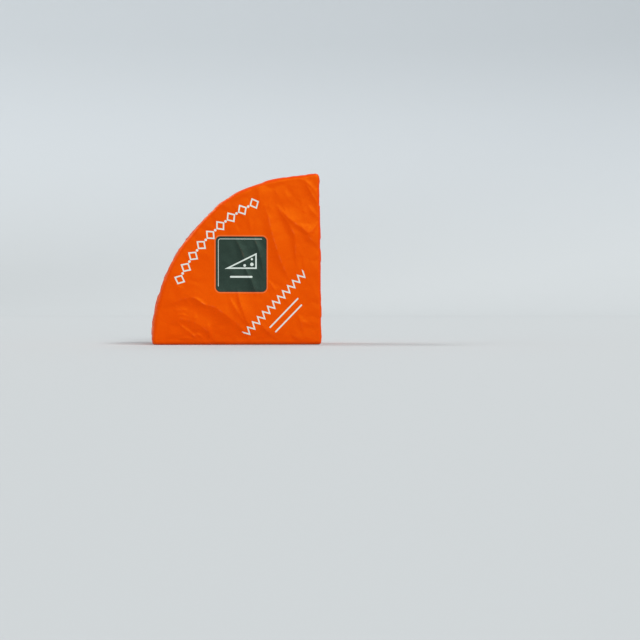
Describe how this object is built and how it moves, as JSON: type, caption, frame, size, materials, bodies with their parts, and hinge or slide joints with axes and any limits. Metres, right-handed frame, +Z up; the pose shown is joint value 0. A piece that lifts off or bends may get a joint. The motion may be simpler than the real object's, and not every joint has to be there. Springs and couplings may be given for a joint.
{
  "type": "foil-wrapped blue cheese wedge",
  "caption": "Quarter wheel of blue cheese in creased printed foil, standing on a straight cut side, with a rounded rim, pleats and flaps folded on the back.",
  "frame": {"origin": "middle of the box's base, on the straight side that the wedge stands on", "axes": "+Z up; +X to the right seen from the printed face, towards the wheel's centre corner; the printed face looks along -Y"},
  "size_m": [0.095, 0.052, 0.0954],
  "materials": {
    "printed_foil": "satin orange printed foil paper, creased"
  },
  "bodies": {
    "root": {"wrapped_wedge": "printed_foil"}
  },
  "joints": []
}
